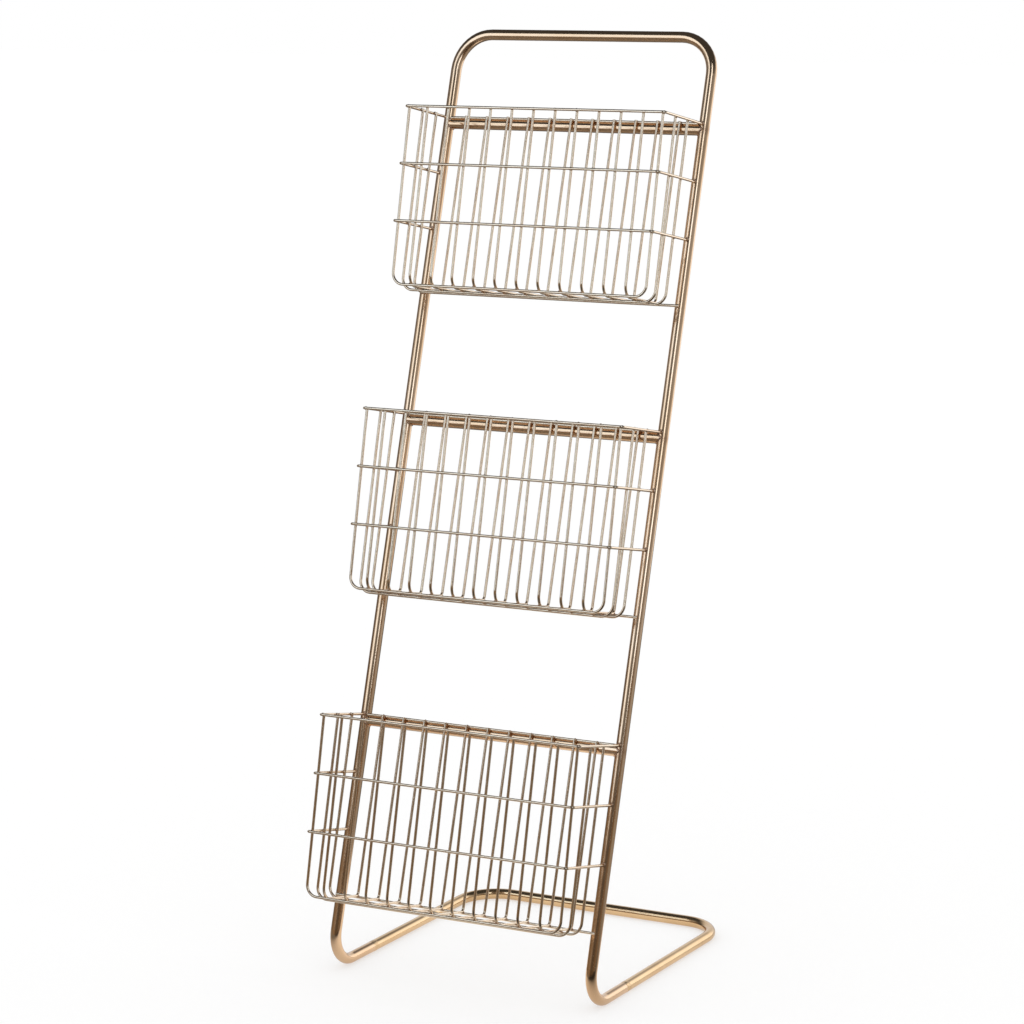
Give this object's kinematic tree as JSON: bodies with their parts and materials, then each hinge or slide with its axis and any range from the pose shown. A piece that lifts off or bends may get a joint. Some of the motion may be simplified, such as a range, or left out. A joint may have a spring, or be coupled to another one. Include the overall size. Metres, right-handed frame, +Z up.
{
  "type": "magazine rack",
  "caption": "Free-standing magazine rack: a leaning plated tube hoop on a floor loop carries tiered wire baskets, one above another.",
  "frame": {"origin": "on the floor, midway between the points where the two post axes meet the floor-leg axes", "axes": "+X across the rack, +Y towards the back, +Z up"},
  "size_m": [0.328, 0.3774, 1],
  "materials": {
    "plated_tube": "polished copper-toned plating over steel tube",
    "plated_wire": "polished copper-toned plating over steel wire"
  },
  "bodies": {
    "root": {"base_loop": "plated_tube", "bottom_basket_back_rails": "plated_wire", "bottom_basket_cross_rib_1": "plated_wire", "bottom_basket_cross_rib_2": "plated_wire", "bottom_basket_cross_rib_3": "plated_wire", "bottom_basket_lower_hoop": "plated_wire", "bottom_basket_rib_01": "plated_wire", "bottom_basket_rib_02": "plated_wire", "bottom_basket_rib_03": "plated_wire", "bottom_basket_rib_04": "plated_wire", "bottom_basket_rib_05": "plated_wire", "bottom_basket_rib_06": "plated_wire", "bottom_basket_rib_07": "plated_wire", "bottom_basket_rib_08": "plated_wire", "bottom_basket_rib_09": "plated_wire", "bottom_basket_rib_10": "plated_wire", "bottom_basket_rib_11": "plated_wire", "bottom_basket_rim": "plated_wire", "bottom_basket_upper_hoop": "plated_wire", "bottom_crossbar": "plated_tube", "middle_basket_back_rails": "plated_wire", "middle_basket_cross_rib_1": "plated_wire", "middle_basket_cross_rib_2": "plated_wire", "middle_basket_cross_rib_3": "plated_wire", "middle_basket_lower_hoop": "plated_wire", "middle_basket_rib_01": "plated_wire", "middle_basket_rib_02": "plated_wire", "middle_basket_rib_03": "plated_wire", "middle_basket_rib_04": "plated_wire", "middle_basket_rib_05": "plated_wire", "middle_basket_rib_06": "plated_wire", "middle_basket_rib_07": "plated_wire", "middle_basket_rib_08": "plated_wire", "middle_basket_rib_09": "plated_wire", "middle_basket_rib_10": "plated_wire", "middle_basket_rib_11": "plated_wire", "middle_basket_rim": "plated_wire", "middle_basket_upper_hoop": "plated_wire", "middle_crossbar": "plated_tube", "top_basket_back_rails": "plated_wire", "top_basket_cross_rib_1": "plated_wire", "top_basket_cross_rib_2": "plated_wire", "top_basket_cross_rib_3": "plated_wire", "top_basket_lower_hoop": "plated_wire", "top_basket_rib_01": "plated_wire", "top_basket_rib_02": "plated_wire", "top_basket_rib_03": "plated_wire", "top_basket_rib_04": "plated_wire", "top_basket_rib_05": "plated_wire", "top_basket_rib_06": "plated_wire", "top_basket_rib_07": "plated_wire", "top_basket_rib_08": "plated_wire", "top_basket_rib_09": "plated_wire", "top_basket_rib_10": "plated_wire", "top_basket_rib_11": "plated_wire", "top_basket_rim": "plated_wire", "top_basket_upper_hoop": "plated_wire", "top_crossbar": "plated_tube", "upright_frame": "plated_tube"}
  },
  "joints": []
}
